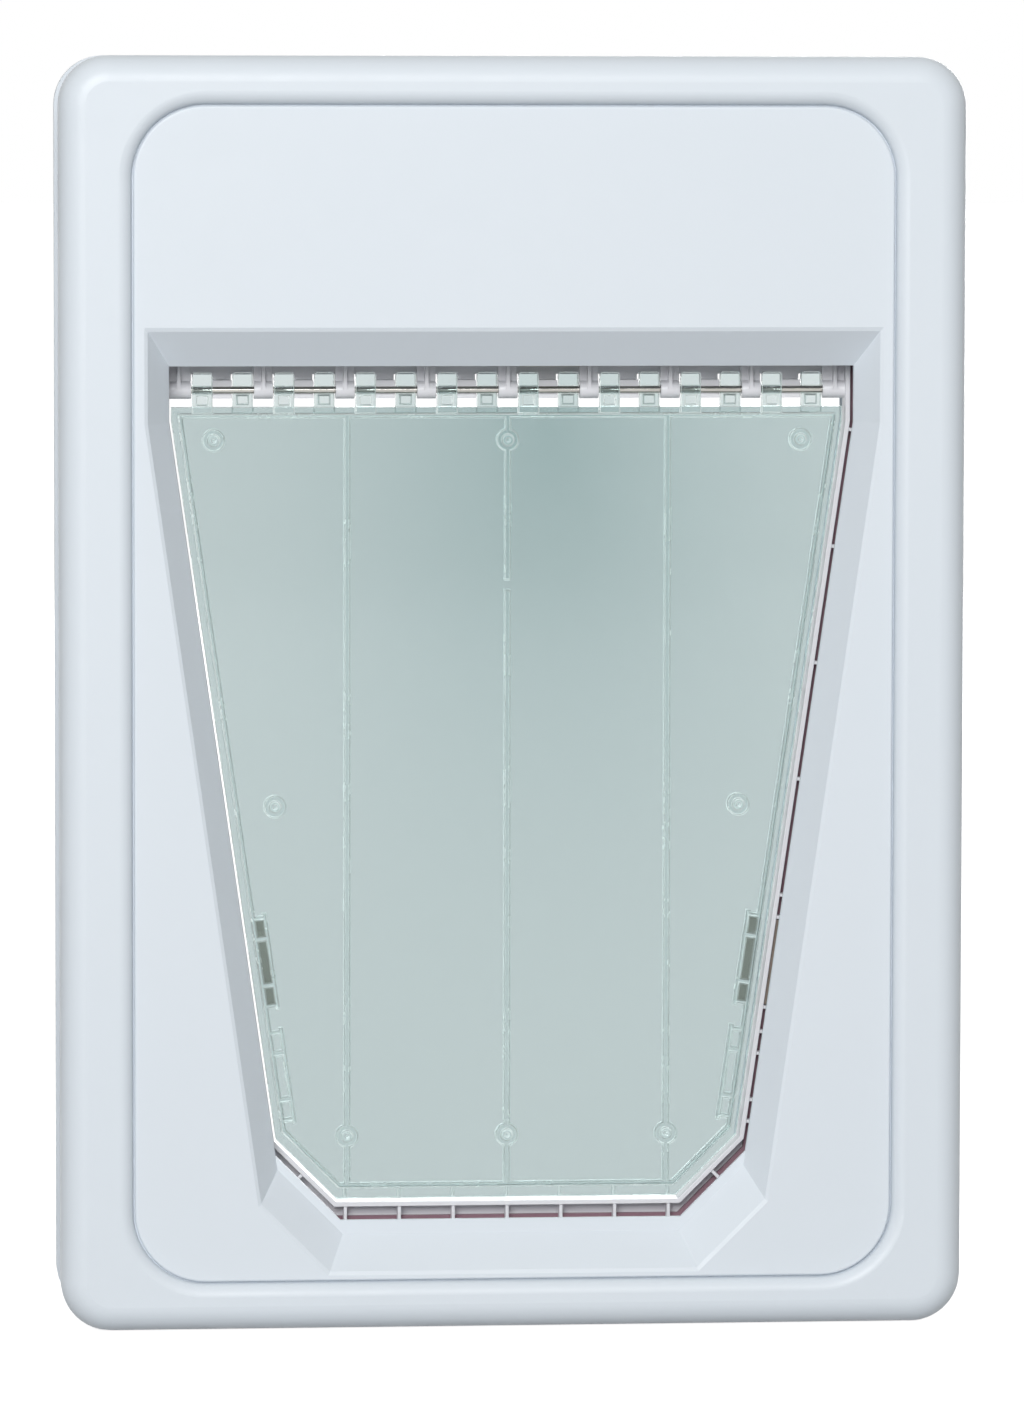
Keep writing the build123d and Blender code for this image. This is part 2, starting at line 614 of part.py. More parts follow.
def saddle(x_from, x_to):
    """Half knuckle behind the pin between the two tabs of a pair, on an arm that leaves the lock room."""
    depth = (MID + SADDLE_BACK, MID + KNUCKLE_RADIUS)
    arm = (MID + SADDLE_BACK, MID + SADDLE_REACH)
    riser = (MID + SADDLE_REACH - SADDLE_WALL, MID + SADDLE_REACH)
    barrel = rod_x(x_from, x_to, MID, AXIS_Z, KNUCKLE_RADIUS)
    return [
        barrel & block(x_from, x_to, *depth, AXIS_Z - KNUCKLE_RADIUS, AXIS_Z),
        block(x_from, x_to, *depth, AXIS_Z, AXIS_Z + SADDLE_TOP),
        block(x_from, x_to, *arm, AXIS_Z + SADDLE_TOP - SADDLE_WALL, AXIS_Z + SADDLE_TOP),
        block(x_from, x_to, *riser, AXIS_Z + SADDLE_TOP - SADDLE_WALL, FLOOR_Z + WALL / 2),
    ]


def knuckle_row():
    """Knuckles between the pairs of tabs and at both ends of the pin, and saddles within the pairs."""
    parts = []
    for pair in range(TAB_COUNT // 2):
        x = FIRST_TAB_X + TAB_PITCH * (2 * pair + 0.5)
        parts += saddle(x - KNUCKLE_WIDTH / 2, x + KNUCKLE_WIDTH / 2)
        if pair:
            parts += knuckle(x - TAB_PITCH - KNUCKLE_WIDTH / 2, x - TAB_PITCH + KNUCKLE_WIDTH / 2)
    inner = -FIRST_TAB_X + TAB_WIDTH / 2 + TAB_SIDE_GAP
    return parts + both_sides(knuckle(inner, FLAP.half + LIP_GAP + LIP_WALL / 2))


def stem_guide():
    """Forked guide on the header wall that holds the rack stem."""
    half_depth = STEM_DEPTH / 2 + GUIDE_FIT
    left = LOCK_X - STEM_WIDTH / 2 - GUIDE_FIT
    right = LOCK_X + STEM_WIDTH / 2 - GUIDE_FIT
    z_from = STEM_FOOT + GUIDE_LIFT
    z_to = z_from + GUIDE_HEIGHT
    depth = (HEADER_INNER - WALL / 2, MID + half_depth + GUIDE_WALL)
    body = block(left - GUIDE_WALL, right, *depth, z_from, z_to)
    return body - block(left, right, MID - half_depth, MID + half_depth, z_from, z_to)


def board_hole_places():
    """Screw positions at the corners of the circuit board."""
    columns = (BOARD_X + BOARD_HOLE_INSET, BOARD_X + BOARD_WIDTH - BOARD_HOLE_INSET)
    rows = (BOARD_Z + BOARD_HOLE_INSET, BOARD_Z + BOARD_HEIGHT - BOARD_HOLE_INSET)
    return [(x, z) for x in columns for z in rows]


def coil_face(fit):
    """Outline of the loop winding, widened by a fit on both edges."""
    return tapered(COIL, COIL_INSET + COIL_WIDTH + fit) - tapered(COIL, COIL_INSET - fit)


def make_chassis():
    """Bulkhead moulding: plate, lip and channel round the flap, hinge knuckles and header housing."""
    bore = RectangleRounded(
        2 * (BORE_HALF - CHASSIS_FIT), 2 * (BORE_TOP - CHASSIS_FIT), BORE_CORNER - CHASSIS_FIT
    )
    below = block(-FRAME_WIDTH, FRAME_WIDTH, 0, LEAF, -FRAME_HEIGHT, FLOOR_TOP)
    above = block(-FRAME_WIDTH, FRAME_WIDTH, 0, LEAF, FLOOR_Z, FRAME_HEIGHT)
    lip_inner = tapered(TUNNEL, LIP_GAP)
    lip_outer = tapered(TUNNEL, LIP_GAP + LIP_WALL)
    wall_inner = tapered(GUTTER, LIP_GAP + LIP_WALL + CHANNEL)
    wall_outer = tapered(GUTTER, LIP_GAP + LIP_WALL + CHANNEL + CHANNEL_WALL)
    half = BORE_HALF - CHASSIS_FIT
    plate = (prism(bore, PLATE_FRONT, PLATE_BACK) & below) - prism(lip_inner, PLATE_FRONT, PLATE_BACK)
    lip = prism(lip_outer - lip_inner, LIP_FRONT, PLATE_BACK) & below
    wall = prism(wall_outer - wall_inner, HEADER_FRONT, PLATE_BACK) & below
    header = prism(bore, HEADER_FRONT, HEADER_INNER) & above
    floor = block(-half, half, HEADER_FRONT, FLOOR_BACK, FLOOR_Z, FLOOR_TOP)
    cove_depth = (MID + SADDLE_REACH - SADDLE_WALL, MID + SADDLE_REACH)
    cove = block(-half, half, *cove_depth, AXIS_Z + COVE_RISE, FLOOR_TOP)
    tubes = [(x, z) for x, z in clamp_places() if z > FLOOR_TOP]
    coil_bed = prism(coil_face(-COIL_BED_INSET), HEADER_INNER - WALL / 2, COIL_FRONT) & above
    body = plate + [lip, wall, header, floor, cove, coil_bed, stem_guide()] + channel_ribs() + knuckle_row()
    body += [rod_y(x, z, CLAMP_BOSS_RADIUS, HEADER_FRONT + WALL / 2, LEAF) for x, z in tubes]
    body += [rod_y(x, z, BOARD_POST_RADIUS, HEADER_FRONT + WALL / 2, BOARD_Y) for x, z in board_hole_places()]
    slot_x = SHOE_LENGTH / 2 + SHOE_FIT / 2
    slot_y = SHOE_DEPTH / 2 + SHOE_FIT / 2
    cuts = [
        block(LOCK_X - slot_x, LOCK_X + slot_x, MID - slot_y, MID + slot_y, FLOOR_Z, FLOOR_TOP),
        rod_x(-FLAP.half - PIN_SEAT, FLAP.half + PIN_SEAT, MID, AXIS_Z, PIN_RADIUS + PIN_FIT),
        prism(coil_face(COIL_FIT), COIL_FRONT, PLATE_FRONT),
    ]
    cuts += [rod_y(x, z, CLAMP_RADIUS + BOLT_CLEARANCE, 0, LEAF) for x, z in clamp_places()]
    cuts += [
        rod_y(x, z, CHASSIS_SCREW_RADIUS + BOLT_CLEARANCE, 0, LEAF) for x, z in chassis_screw_places()
    ]
    pilot = BOARD_Y + BOARD_THICKNESS - BOARD_SCREW_LENGTH - CLAMP_BLIND
    cuts += [rod_y(x, z, BOARD_SCREW_RADIUS + SCREW_FIT, pilot, BOARD_Y) for x, z in board_hole_places()]
    return body - cuts


def make_hinge_pin():
    """Plain pin that carries the flap."""
    half = FLAP.half + PIN_SEAT - PIN_FIT
    return rod_x(-half, half, MID, AXIS_Z, PIN_RADIUS)


def boss_places():
    """Positions of the bosses that join the two flap shells."""
    mid_z = FLAP.top - BOSS_MID_DROP
    mid_x = FLAP.half - (KINK_Z - mid_z) * TAPER_SLOPE - BOSS_MID_INSET
    top_z = FLAP.top - BOSS_TOP_DROP
    top_x = FLAP.half - BOSS_TOP_INSET
    foot_z = FLAP.foot + BOSS_FOOT_RISE
    rows = [(top_z, (-top_x, 0, top_x)), (mid_z, (-mid_x, mid_x)), (foot_z, (-FLAP_RIB_X, 0, FLAP_RIB_X))]
    return [(x, z) for z, columns in rows for x in columns]


def hinge_tab(index):
    """Half-depth hinge tab with rounded top corners, a groove for the pin and a recess in its neck."""
    x = FIRST_TAB_X + index * TAB_PITCH
    root = FLAP.top - TAB_ROOT
    crown = AXIS_Z + TAB_RISE
    face = Pos(x, (root + crown) / 2) * Rectangle(TAB_WIDTH, crown - root)
    face = fillet(face.vertices().sort_by(Axis.Y)[-2:], TAB_CORNER)
    recess_from = FLAP.top + TAB_RECESS_MARGIN
    recess_to = AXIS_Z - PIN_RADIUS - TAB_RECESS_MARGIN
    recess = Pos(x, (recess_from + recess_to) / 2) * Rectangle(TAB_RECESS_WIDTH, recess_to - recess_from)
    half = TAB_WIDTH / 2
    cuts = [
        rod_x(x - half, x + half, MID, AXIS_Z, PIN_RADIUS + TAB_FIT),
        prism(recess, FLAP_FRONT, FLAP_FRONT + TAB_RECESS),
    ]
    return prism(face, FLAP_FRONT, MID - SHELL_GAP) - cuts


def magnet_pocket(z):
    """Walls of a magnet pocket in the right-hand edge of the flap, and the two ribs that part it."""
    depth = (FLAP_FRONT + FLAP_PLATE / 2, MID - SHELL_GAP)
    inset = FLAP_FLANGE + FLAP_WALL
    across = MAGNET_WIDTH + 2 * MAGNET_FIT
    wall_z = MAGNET_ROW / 2 + MAGNET_FIT + POCKET_WALL / 2
    parts = [edge_box(z, inset + across, POCKET_WALL, MAGNET_ROW + 4 * POCKET_WALL, *depth)]
    lean = math.cos(math.radians(SIDE_TAPER))
    for side in (-1, 1):
        end_z = z + side * wall_z * lean
        rib_z = z + side * POCKET_RIB_OFFSET * lean
        parts.append(edge_box(end_z, inset - FLAP_WALL / 2, across + FLAP_WALL, POCKET_WALL, *depth))
        parts.append(edge_box(rib_z, inset - FLAP_WALL / 2, across + FLAP_WALL, POCKET_RIB, *depth))
    return parts


def flap_shell():
    """Outer half of the flap: flange, raised field with thin walls, inner ribs and magnet pockets."""
    back = MID - SHELL_GAP
    field = tapered(FIELD, -FLAP_FLANGE)
    cavity = tapered(FIELD, -FLAP_FLANGE - FLAP_WALL)
    shell = prism(tapered(FLAP), back - FLAP_PLATE, back) + prism(field, FLAP_FRONT, back)
    shell -= prism(cavity, FLAP_FRONT + FLAP_PLATE, back)
    depth = (FLAP_FRONT + FLAP_PLATE / 2, back)
    rib_from = FLAP.foot + FLAP_FOOT_FLANGE + FLAP_WALL / 2
    rib_to = FLAP.top - FLAP_FLANGE - FLAP_WALL / 2
    break_z = FLAP.top - RIB_BREAK_DROP
    half = FLAP_RIB / 2
    ribs = both_sides([block(FLAP_RIB_X - half, FLAP_RIB_X + half, *depth, rib_from, rib_to)])
    ribs.append(block(-half, half, *depth, rib_from, break_z - RIB_BREAK / 2))
    ribs.append(block(-half, half, *depth, break_z + RIB_BREAK / 2, rib_to))
    ribs += both_sides(magnet_pocket(LATCH_Z) + magnet_pocket(SPARE_Z))
    foot_depth = (back - FLAP_PLATE - FOOT_RIB_HEIGHT, back - FLAP_PLATE / 2)
    foot_from, foot_to = FLAP.foot + FOOT_RIB, FLAP.foot + FLAP_FOOT_FLANGE + FLAP_WALL / 2
    for column in range(FOOT_RIB_COUNT):
        x = (column - (FOOT_RIB_COUNT - 1) / 2) * FOOT_RIB_PITCH
        ribs.append(block(x - FOOT_RIB / 2, x + FOOT_RIB / 2, *foot_depth, foot_from, foot_to))
    ribs += [rod_y(x, z, BOSS_RADIUS, *depth) for x, z in boss_places()]
    return shell + ribs


def make_flap_front_shell():
    """Outer flap shell with the even tabs and the holes for the stakes."""
    tabs = [hinge_tab(index) for index in range(0, TAB_COUNT, 2)]
    holes = [
        rod_y(x, z, STAKE_RADIUS + STAKE_FIT, FLAP_FRONT + FLAP_PLATE / 2, MID) for x, z in boss_places()
    ]
    return flap_shell() + tabs - holes


def make_flap_back_shell():
    """Inner flap shell with the odd tabs and the stakes that stand in the outer shell's bosses."""
    tabs = [to_inside(hinge_tab(index)) for index in range(1, TAB_COUNT, 2)]
    tip = FLAP_FRONT + FLAP_PLATE / 2 + STAKE_FIT
    stakes = [rod_y(x, z, STAKE_RADIUS, tip, MID + BOSS_RADIUS / 2) for x, z in boss_places()]
    dimples = [rod_y(x, z, STAKE_DIMPLE, tip, tip + STAKE_DIMPLE) for x, z in boss_places()]
    return to_inside(flap_shell()) + tabs + stakes - dimples


def make_magnets():
    """Right-hand row of three bar magnets, parted by the two ribs of the pocket."""
    inset = FLAP_FLANGE + FLAP_WALL + MAGNET_FIT
    depth = (MID - MAGNET_THICKNESS / 2, MID + MAGNET_THICKNESS / 2)
    lean = math.cos(math.radians(SIDE_TAPER))
    middle_end = POCKET_RIB_OFFSET - POCKET_RIB / 2 - MAGNET_FIT
    outer_from = POCKET_RIB_OFFSET + POCKET_RIB / 2 + MAGNET_FIT
    outer_length = MAGNET_ROW / 2 - outer_from
    outer_z = (outer_from + outer_length / 2) * lean
    return [
        edge_box(LATCH_Z - outer_z, inset, MAGNET_WIDTH, outer_length, *depth),
        edge_box(LATCH_Z, inset, MAGNET_WIDTH, 2 * middle_end, *depth),
        edge_box(LATCH_Z + outer_z, inset, MAGNET_WIDTH, outer_length, *depth),
    ]


def make_keeper():
    """Right-hand steel strip that lies on the winding in the channel beside the magnets."""
    inset = -LIP_GAP - LIP_WALL - KEEPER_GAP - KEEPER_WIDTH
    return edge_box(LATCH_Z, inset, KEEPER_WIDTH, MAGNET_ROW, COIL_FRONT - KEEPER_DEPTH, COIL_FRONT)


def make_clamp_bolts():
    """Bolts from the inside floor plate to the blind bosses of the outside frame."""
    seat = LEAF + WALL
    length = seat - PANEL_BACK_Y - CLAMP_BOSS_SETBACK - 2 * CLAMP_BLIND
    return [screw(x, z, CLAMP_RADIUS, length, seat, False) for x, z in clamp_places()]


def make_chassis_screws():
    """Screws from the chassis plate into the posts of the inside frame."""
    places = chassis_screw_places()
    return [screw(x, z, CHASSIS_SCREW_RADIUS, CHASSIS_SCREW_LENGTH, PLATE_FRONT, True) for x, z in places]


def make_panel_screws():
    """Screws from behind the outside floor plate into the panel posts."""
    length = PANEL_SCREW_LENGTH - CLAMP_BLIND
    return [screw(x, z, PANEL_SCREW_RADIUS, length, 0, False) for x, z in panel_post_places()]


def make_board_screws():
    """Screws that hold the circuit board to its posts."""
    seat = BOARD_Y + BOARD_THICKNESS
    return [screw(x, z, BOARD_SCREW_RADIUS, BOARD_SCREW_LENGTH, seat, False) for x, z in board_hole_places()]


def row_z(row):
    """Height of one row of cells."""
    return TRAY_Z + TRAY_WALL + CELL_FIT + CELL_RADIUS + row * ROW_PITCH


def make_battery_tray():
    """Open tray with one trough for each row of cells."""
    depth = (HEADER_INNER, HEADER_INNER + TRAY_DEPTH)
    body = block(TRAY_X, TRAY_X + TRAY_LENGTH, *depth, TRAY_Z, TRAY_Z + TRAY_HEIGHT)
    inside = (TRAY_X + TRAY_WALL, TRAY_X + TRAY_LENGTH - TRAY_WALL)
    half = CELL_RADIUS + CELL_FIT
    troughs = [
        block(*inside, depth[0] + TRAY_WALL, depth[1], row_z(row) - half, row_z(row) + half)
        for row in range(CELL_ROWS)
    ]
    return body - troughs


def make_cells():
    """Round cells laid end to end in each row."""
    cells = []
    for row in range(CELL_ROWS):
        for place in range(CELLS_PER_ROW):
            x = TRAY_X + TRAY_WALL + CONTACT_DEPTH + place * (CELL_LENGTH + CELL_NUB)
            end = x + CELL_LENGTH
            can = rod_x(x, end, CELL_Y, row_z(row), CELL_RADIUS)
            can = chamfer(can.edges().filter_by(GeomType.CIRCLE), CELL_EDGE)
            cells.append(can + rod_x(end, end + CELL_NUB, CELL_Y, row_z(row), CELL_NUB_RADIUS))
    return cells


def leaf_contact(x, z, way):
    """Folded leaf spring against one end wall of the tray."""
    spring = CONTACT_DEPTH - CONTACT_STRIP - SCREW_FIT
    upper = [(0, CONTACT_HALF), (0, CONTACT_FOLD), (spring, CONTACT_CREST)]
    outside = upper + [(u, -v) for u, v in reversed(upper)]
    inside = [(u + CONTACT_STRIP, v) for u, v in reversed(outside)]
    points = [(x + way * u, z + v) for u, v in outside + inside]
    face = make_face(Polyline(*points, close=True))
    return prism(face, CELL_Y - CONTACT_WIDTH / 2, CELL_Y + CONTACT_WIDTH / 2)


def make_battery_contacts():
    """Leaf contacts at both ends of each row of cells."""
    low = TRAY_X + TRAY_WALL
    high = TRAY_X + TRAY_LENGTH - TRAY_WALL
    rows = [row_z(row) for row in range(CELL_ROWS)]
    return [leaf_contact(x, z, way) for z in rows for x, way in ((low, 1), (high, -1))]


def make_circuit_board():
    """Board with its relay, chip, connector and two capacitors."""
    top = BOARD_Y + BOARD_THICKNESS
    board = block(BOARD_X, BOARD_X + BOARD_WIDTH, BOARD_Y, top, BOARD_Z, BOARD_Z + BOARD_HEIGHT)
    holes = [
        rod_y(x, z, BOARD_SCREW_RADIUS + BOLT_CLEARANCE, BOARD_Y, top) for x, z in board_hole_places()
    ]
    row = BOARD_Z + PART_ROW
    middle = BOARD_X + BOARD_WIDTH / 2
    chip = Pos(middle, top + CHIP_HEIGHT / 2, row) * Box(CHIP_SIDE, CHIP_HEIGHT, CHIP_SIDE)
    relay_place = Pos(middle + RELAY_OFFSET, top + RELAY_HEIGHT / 2, row)
    relay = relay_place * Box(RELAY_LENGTH, RELAY_HEIGHT, RELAY_WIDTH)
    plug_x = BOARD_X + PLUG_INSET + PLUG_WIDTH / 2
    plug_z = BOARD_Z + BOARD_HEIGHT / 2
    plug = Pos(plug_x, top + PLUG_HEIGHT / 2, plug_z) * Box(PLUG_WIDTH, PLUG_HEIGHT, PLUG_LENGTH)
    can_z = BOARD_Z + CAPACITOR_ROW
    cans = [
        rod_y(middle + x, can_z, CAPACITOR_RADIUS, top, top + CAPACITOR_HEIGHT) for x in CAPACITOR_OFFSETS
    ]
    return board - holes + [relay, chip, plug] + cans


def make_board_switch():
    """Push switch on the board behind the mode button."""
    base = BOARD_Y + BOARD_THICKNESS
    body = base + SWITCH_HEIGHT
    half = SWITCH_SIDE / 2
    case = block(BUTTON_X - half, BUTTON_X + half, base, body, CONTROL_Z - half, CONTROL_Z + half)
    reach = LEAF - PANEL_BACK_Y - BUTTON_FLANGE_GAP - BUTTON_FLANGE - BUTTON_TAIL - BUTTON_TRAVEL - SWITCH_GAP
    return case + rod_y(BUTTON_X, CONTROL_Z, BUTTON_TAIL_RADIUS, body, reach)


def make_mode_button():
    """Button with a retaining flange behind the panel and a tail towards the switch."""
    flange_to = LEAF - PANEL_BACK_Y - BUTTON_FLANGE_GAP
    flange_from = flange_to - BUTTON_FLANGE
    cap_to = LEAF - FACE_Y + BUTTON_PROUD
    cap = rod_y(BUTTON_X, CONTROL_Z, BUTTON_RADIUS, flange_to, cap_to)
    cap = fillet(cap.edges().sort_by(Axis.Y)[-1], BUTTON_PROUD / 2)
    flange = rod_y(BUTTON_X, CONTROL_Z, BUTTON_FLANGE_RADIUS, flange_from, flange_to)
    tail = rod_y(BUTTON_X, CONTROL_Z, BUTTON_TAIL_RADIUS, flange_from - BUTTON_TAIL, flange_from)
    return cap + [flange, tail]


def make_light_pipe():
    """Clear rod that carries the indicator light to the panel face."""
    back = LEAF - PANEL_BACK_Y
    rod = rod_y(PIPE_X, CONTROL_Z, PIPE_RADIUS, back - PIPE_TAIL, LEAF - FACE_Y + PIPE_PROUD)
    return rod + rod_y(PIPE_X, CONTROL_Z, PIPE_FLANGE_RADIUS, back - PIPE_FLANGE, back)


def make_antenna_coil():
    """Loop winding on the floor of the channel, carried up round the header."""
    return prism(coil_face(0.0), COIL_FRONT, PLATE_FRONT)


def make_lock_shoe():
    """Inverted channel that drops over two hinge tabs, with a rack on its stem."""
    half_x = SHOE_LENGTH / 2
    half_y = SHOE_DEPTH / 2
    gap_y = half_y - SHOE_LEG_WALL
    shoe = block(LOCK_X - half_x, LOCK_X + half_x, MID - half_y, MID + half_y, SHOE_FOOT, STEM_FOOT)
    shoe -= block(LOCK_X - half_x, LOCK_X + half_x, MID - gap_y, MID + gap_y, SHOE_FOOT, SHOE_FOOT + SHOE_LEG)
    stem_x = STEM_WIDTH / 2
    stem_y = STEM_DEPTH / 2
    stem = block(
        LOCK_X - stem_x, LOCK_X + stem_x, MID - stem_y, MID + stem_y, STEM_FOOT, STEM_FOOT + STEM_HEIGHT
    )
    slope = math.tan(math.radians(PRESSURE_ANGLE))
    half_tooth = (RACK_PITCH - TOOTH_BACKLASH) / 4
    tip, root = MODULE, TOOTH_DEDENDUM * MODULE
    teeth = []
    for index in range(RACK_TEETH):
        z = PINION_Z + (index - RACK_TEETH // 2 + 1) * RACK_PITCH
        wide, narrow = half_tooth + root * slope, half_tooth - tip * slope
        points = [
            (RACK_LINE_X - root, z - wide),
            (RACK_LINE_X + tip, z - narrow),
            (RACK_LINE_X + tip, z + narrow),
            (RACK_LINE_X - root, z + wide),
        ]
        teeth.append(prism(make_face(Polyline(*points, close=True)), MID - stem_y, MID + stem_y))
    return shoe + [stem] + teeth


def involute(angle):
    """Involute function of a pressure angle."""
    return math.tan(angle) - angle


def make_pinion():
    """Involute pinion with a tooth space facing the rack."""
    pressure = math.radians(PRESSURE_ANGLE)
    base = PITCH_RADIUS * math.cos(pressure)
    root = PITCH_RADIUS - TOOTH_DEDENDUM * MODULE
    tip = PITCH_RADIUS + MODULE
    half = (RACK_PITCH - TOOTH_BACKLASH) / 4 / PITCH_RADIUS + involute(pressure)
    flank = [(root, half)]
    flank += [
        (radius, half - involute(math.acos(base / radius))) for radius in (base, PITCH_RADIUS, tip)
    ]
    step = 2 * math.pi / PINION_TEETH
    points = []
    for index in range(PINION_TEETH):
        centre = math.pi + (index + 0.5) * step
        polar = [(radius, centre - angle) for radius, angle in flank]
        polar += [(radius, centre + angle) for radius, angle in reversed(flank)]
        points += [(PINION_X + r * math.cos(a), PINION_Z + r * math.sin(a)) for r, a in polar]
    width = (MID - PINION_WIDTH / 2, MID + PINION_WIDTH / 2)
    wheel = prism(make_face(Polyline(*points, close=True)), *width)
    return wheel - rod_y(PINION_X, PINION_Z, SHAFT_RADIUS + SHAFT_FIT, *width)


def make_motor():
    """Gear motor with its nose and shaft."""
    can = rod_y(PINION_X, PINION_Z, MOTOR_RADIUS, MOTOR_FRONT, MOTOR_FRONT + MOTOR_LENGTH)
    can = chamfer(can.edges().filter_by(GeomType.CIRCLE), MOTOR_EDGE)
    nose = rod_y(PINION_X, PINION_Z, MOTOR_NOSE_RADIUS, MOTOR_FRONT - BRACKET, MOTOR_FRONT)
    shaft = rod_y(PINION_X, PINION_Z, SHAFT_RADIUS, MID - PINION_WIDTH / 2, MOTOR_FRONT)
    return can + [nose, shaft]


def make_motor_bracket():
    """Angle bracket that stands on the header floor and carries the motor by its nose."""
    depth = (MOTOR_FRONT - BRACKET, MOTOR_FRONT)
    plate = block(
        PINION_X - MOTOR_RADIUS,
        PINION_X + MOTOR_RADIUS,
        *depth,
        PINION_Z - MOTOR_RADIUS,
        PINION_Z + MOTOR_RADIUS,
    )
    leg_x = LOCK_X + SHOE_LENGTH / 2 + BRACKET_GAP
    leg = block(leg_x, leg_x + BRACKET_LEG, *depth, FLOOR_TOP, PINION_Z)
    foot_depth = (MOTOR_FRONT - BRACKET, MOTOR_FRONT + BRACKET_FOOT)
    foot = block(leg_x, leg_x + BRACKET_LEG, *foot_depth, FLOOR_TOP, FLOOR_TOP + BRACKET)
    return plate + [leg, foot] - rod_y(PINION_X, PINION_Z, MOTOR_NOSE_RADIUS + SCREW_FIT, 0, LEAF)


def save(name, shape):
    """Write one node, a single body or a group of bodies."""
    if isinstance(shape, list):
        shape = Compound(children=[part.solid() for part in shape])
    export_step(shape, f"parts/{name}.step")


os.makedirs("parts", exist_ok=True)
save("exterior_frame", make_exterior_frame())
save("interior_frame", make_interior_frame())
save("exterior_panel", make_exterior_panel())
save("interior_panel", make_interior_panel())
save("chassis", make_chassis())
save("hinge_pin", make_hinge_pin())
save("flap_front_shell", make_flap_front_shell())
save("flap_back_shell", make_flap_back_shell())
save("magnet_right", make_magnets())
save("magnet_left", [mirror(magnet, about=Plane.YZ) for magnet in make_magnets()])
save("keeper_right", make_keeper())
save("keeper_left", mirror(make_keeper(), about=Plane.YZ))
save("clamp_bolts", make_clamp_bolts())
save("chassis_screws", make_chassis_screws())
save("panel_screws", make_panel_screws())
save("board_screws", make_board_screws())
save("battery_tray", make_battery_tray())
for number, cell in enumerate(make_cells(), start=1):
    save(f"battery_{number}", cell)
save("battery_contacts", make_battery_contacts())
save("circuit_board", make_circuit_board())
save("board_switch", make_board_switch())
save("mode_button", make_mode_button())
save("light_pipe", make_light_pipe())
save("antenna_coil", make_antenna_coil())
save("lock_shoe", make_lock_shoe())
save("pinion", make_pinion())
save("motor", make_motor())
save("motor_bracket", make_motor_bracket())
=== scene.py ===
import bpy
import json
import math
from mathutils import Matrix, Vector


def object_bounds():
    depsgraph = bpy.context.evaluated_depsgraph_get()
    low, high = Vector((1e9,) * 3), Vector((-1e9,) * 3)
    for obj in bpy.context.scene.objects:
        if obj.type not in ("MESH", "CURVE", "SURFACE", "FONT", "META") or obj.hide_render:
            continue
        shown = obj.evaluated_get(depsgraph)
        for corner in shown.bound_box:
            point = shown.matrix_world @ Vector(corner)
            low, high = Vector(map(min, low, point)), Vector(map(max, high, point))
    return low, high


# Looks, light and camera for the dog door. Lengths are in metres, in the frame of the CAD part.
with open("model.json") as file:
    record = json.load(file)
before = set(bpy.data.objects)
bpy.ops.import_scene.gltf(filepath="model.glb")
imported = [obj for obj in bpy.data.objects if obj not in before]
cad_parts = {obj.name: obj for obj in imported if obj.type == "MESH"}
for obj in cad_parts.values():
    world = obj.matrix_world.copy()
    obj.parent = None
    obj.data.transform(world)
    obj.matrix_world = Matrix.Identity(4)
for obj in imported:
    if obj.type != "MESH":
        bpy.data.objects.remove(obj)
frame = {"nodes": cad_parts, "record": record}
NODES = frame["nodes"]
CAD_LOW, CAD_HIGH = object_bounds()

# Camera: angles in degrees, focal length in pixels of a picture of this height
IMAGE_HEIGHT = 1408
SENSOR = 36.0
FOCAL_PIXELS = 8161.0
CAMERA_DISTANCE = 3.8
CAMERA_REACH = 100.0
CAMERA_YAW = 5.3
CAMERA_PITCH = 4.5
CAMERA_ROLL = 0.11
CAMERA_TARGET = Vector((0.0003, 0.0, -0.0053))

# Light and stage
LAMP_SIZE = 2.4
KEY_PLACE = Vector((-1.0, -4.7, 1.75))
KEY_POWER = 188.0
BACK_PLACE = Vector((1.4, 5.0, 0.6))
BACK_POWER = 130.0
AMBIENT = 0.28
AMBIENT_COLOUR = (0.98, 1.0, 0.97)
WHITE_LIGHT = (1.0, 1.0, 1.0, 1.0)
FLOOR_SIZE = 60.0
FLOOR_GAP = 0.0005
FLOOR_COLOUR = (0.36, 0.37, 0.38)
FLOOR_ROUGHNESS = 0.9
FLOOR_GLOW = 0.91

# Clear pieces, which let the lamps shine through
FLAP_SHELLS = ("flap_front_shell", "flap_back_shell")
CLEAR_NODES = (*FLAP_SHELLS, "light_pipe")

# Rounding of the sharp edges of moulded pieces
EDGE_WIDTH = {"flap_front_shell": 0.00045, "flap_back_shell": 0.00045, "chassis": 0.0003}
EDGE_SEGMENTS = 2
EDGE_ANGLE = 35.0
WELD_GAP = 0.000002

# Patterns in the materials: features in a metre, and the middle range of a noise pattern
CLOUD_SCALE = 9.0
POLISH_SCALE = 40.0
GLOSS_SCALE = 60.0
TARNISH_SCALE = 90.0
NOISE_LOW = 0.3
NOISE_HIGH = 0.7
GLOSS_SPREAD = 0.05
METAL_SPREAD = 0.08
METAL_MARK_DEPTH = 0.00001

# Clear plastic: how it bends light, and where painted shade darkens its colour most and how far that
# reaches
CLEAR_IOR = 1.49
PAINTED_SHADE_PLACE = (0.02, 0.022, 0.12)
PAINTED_SHADE_REACH = (0.2, 0.5, 0.32)

